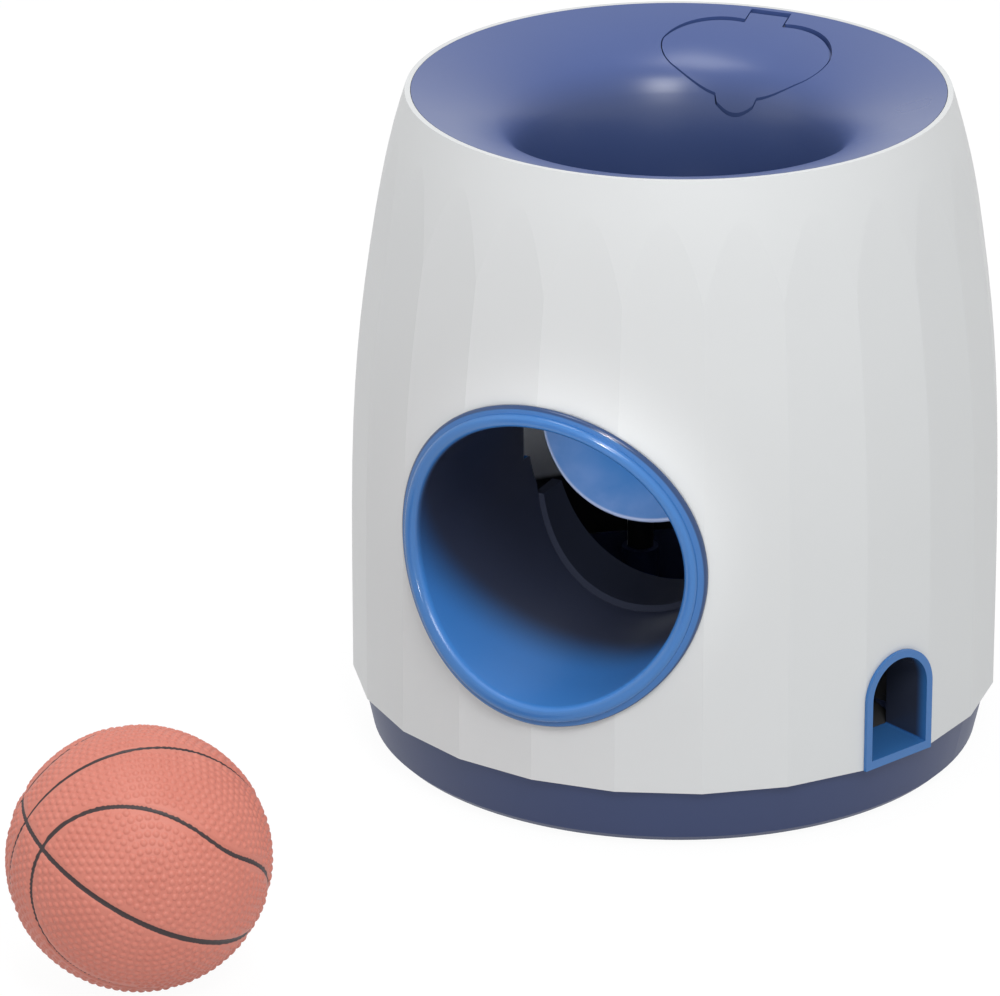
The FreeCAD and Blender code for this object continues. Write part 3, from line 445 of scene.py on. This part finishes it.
def spread_pebbles(material):
    """One dome on every place, by a node tree that is then turned into plain mesh."""
    tree = bpy.data.node_groups.new("pebbles", "GeometryNodeTree")
    face = tree.interface
    face.new_socket("Geometry", in_out="INPUT", socket_type="NodeSocketGeometry")
    dome_in = face.new_socket("Dome", in_out="INPUT", socket_type="NodeSocketObject")
    middle_in = face.new_socket("Middle", in_out="INPUT", socket_type="NodeSocketVector")
    spread_in = face.new_socket("Size spread", in_out="INPUT", socket_type="NodeSocketFloat")
    seed_in = face.new_socket("Seed", in_out="INPUT", socket_type="NodeSocketInt")
    face.new_socket("Geometry", in_out="OUTPUT", socket_type="NodeSocketGeometry")
    least_smaller = 0.16
    spread_seed = 4
    graph = Graph(tree)
    given = graph.node("NodeGroupInput", {}, {})
    dome = graph.node("GeometryNodeObjectInfo", {}, {"Object": given["Dome"]})["Geometry"]
    here = graph.node("GeometryNodeInputPosition", {}, {})["Position"]
    out = graph.node("ShaderNodeVectorMath", {"operation": "SUBTRACT"}, {
        0: here, 1: given["Middle"]})
    turn = graph.node("FunctionNodeAlignRotationToVector", {"axis": "Z"}, {
        "Vector": out["Vector"]})
    size = graph.node("FunctionNodeRandomValue", {"data_type": "FLOAT"}, {
        "Min": 1.0 - given["Size spread"], "Max": 1.0, "Seed": given["Seed"]})
    many = graph.node("GeometryNodeInstanceOnPoints", {}, {
        "Points": given["Geometry"], "Instance": dome, "Rotation": turn["Rotation"],
        "Scale": size["Value"]})
    plain = graph.node("GeometryNodeRealizeInstances", {}, {"Geometry": many["Instances"]})
    dressed = graph.node("GeometryNodeSetMaterial", {}, {
        "Geometry": plain["Geometry"], "Material": material})
    graph.node("NodeGroupOutput", {}, {"Geometry": dressed["Geometry"]})
    places = solid("pebble_places", pebble_places(), [])
    pattern = pebble_dome()
    spread = places.modifiers.new("pebbles", "NODES")
    spread.node_group = tree
    spread[dome_in.identifier] = pattern
    spread[middle_in.identifier] = tuple(ball_middle)
    spread[spread_in.identifier] = least_smaller
    spread[seed_in.identifier] = spread_seed
    seen = places.evaluated_get(bpy.context.evaluated_depsgraph_get())
    mesh = bpy.data.meshes.new_from_object(seen)
    mesh.shade_smooth()
    places.modifiers.clear()
    made = bpy.data.objects.new("ball_pebbles", mesh)
    bpy.context.scene.collection.objects.link(made)
    bpy.data.objects.remove(places)
    bpy.data.objects.remove(pattern)
    as_ball(made)
    return made


coral = ball_finish()
ball_body(coral)
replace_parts(spread_pebbles(coral), "play_ball")


# The studio: a pale floor that glows white, a small soft key above the camera's side, a weak fill
# from the left, a lamp straight overhead, and the camera where the photograph was taken.
def floor_finish():
    finish = Finish("studio_floor", (0.66, 0.66, 0.66), 0.9)
    values = {"Color": (1, 1, 1, 1), "Strength": 1.06}
    glow = finish.node("ShaderNodeEmission", {}, values)["Emission"]
    glow_share = 0.90
    seen = finish.node("ShaderNodeLightPath", {}, {})
    rays = seen["Is Camera Ray"] + seen["Is Glossy Ray"] + seen["Is Transmission Ray"]
    share = rays * glow_share
    both = finish.node("ShaderNodeMixShader", {}, {0: share, 1: finish.surface["BSDF"], 2: glow})
    finish.tree.links.new(both["Shader"].socket, finish.last.made.inputs["Surface"])
    return finish.material


half = 6.0
corners = [(-half, -half, 0), (half, -half, 0), (half, half, 0), (-half, half, 0)]
floor = solid("floor", corners, [(0, 1, 2, 3)])
floor.data.materials.append(floor_finish())

scene = bpy.context.scene
scene.view_settings.view_transform = "Standard"
world = bpy.data.worlds.new("studio")
scene.world = world
world.use_nodes = True
air = Graph(world.node_tree)
path = air.node("ShaderNodeLightPath", {}, {})
seen = path["Is Camera Ray"] + path["Is Glossy Ray"]
lit_strength, seen_extra = 0.54, 0.46
strength = seen * seen_extra + lit_strength
sky = air.node("ShaderNodeBackground", {}, {"Color": (1, 1, 1, 1), "Strength": strength})
air.node("ShaderNodeOutputWorld", {}, {"Surface": sky["Background"]})


def softbox(name, place, aim, size, power):
    lamp = bpy.data.lights.new(name, "AREA")
    lamp.shape = "SQUARE"
    lamp.size = size
    lamp.energy = power
    thing = bpy.data.objects.new(name, lamp)
    thing.location = place
    thing.rotation_mode = "QUATERNION"
    thing.rotation_quaternion = (Vector(aim) - Vector(place)).to_track_quat("-Z", "Y")
    scene.collection.objects.link(thing)


softbox("key", (0.60, -0.82, 1.05), (0, 0, 0.12), 0.45, 8.0)
softbox("fill", (-1.1, -0.8, 0.7), (0, 0, 0.09), 0.9, 1.1)
softbox("high", (-0.11, -0.14, 1.50), (0, 0, 0.15), 0.6, 4.8)

# A snoot that looks down the tube from above its mouth, as a photographer would light the dish
# behind it.
snoot = bpy.data.lights.new("snoot", "SPOT")
snoot.energy = 32.0
snoot.spot_size = math.radians(5.0)
snoot.spot_blend = 1.0
snoot.shadow_soft_size = 0.02
snoot_lamp = bpy.data.objects.new("snoot", snoot)
snoot_lamp.location = (0.20, -0.95, 0.30)
snoot_lamp.rotation_mode = "QUATERNION"
snoot_aim = Vector((0.0, -0.060, 0.080))
snoot_lamp.rotation_quaternion = (snoot_aim - snoot_lamp.location).to_track_quat("-Z", "Y")
scene.collection.objects.link(snoot_lamp)

camera_distance = 1.52202
camera_height = 0.70435
camera_azimuth = math.radians(24.24)
camera_tilt = math.radians(22.84)
camera_pan = math.radians(-1.73)
camera_roll = math.radians(-0.20)
focal_pixels = 6300.0
photo_width = 1000.0
turn = Matrix.Rotation(camera_azimuth, 3, "Z")
ahead = turn @ Vector((math.sin(camera_pan) * math.cos(camera_tilt),
                       math.cos(camera_pan) * math.cos(camera_tilt), -math.sin(camera_tilt)))
level_right = ahead.cross(Vector((0, 0, 1))).normalized()
level_up = level_right.cross(ahead)
right = math.cos(camera_roll) * level_right + math.sin(camera_roll) * level_up
up = -math.sin(camera_roll) * level_right + math.cos(camera_roll) * level_up
lens = bpy.data.cameras.new("camera")
lens.sensor_width = 36.0
lens.lens = focal_pixels / photo_width * lens.sensor_width
lens.clip_start = 0.05
lens.clip_end = 50.0
camera = bpy.data.objects.new("camera", lens)
camera_place = turn @ Vector((0, -camera_distance, camera_height))
camera_turn = Matrix((right, up, -ahead)).transposed().to_4x4()
camera.matrix_world = Matrix.Translation(camera_place) @ camera_turn
scene.collection.objects.link(camera)
scene.camera = camera
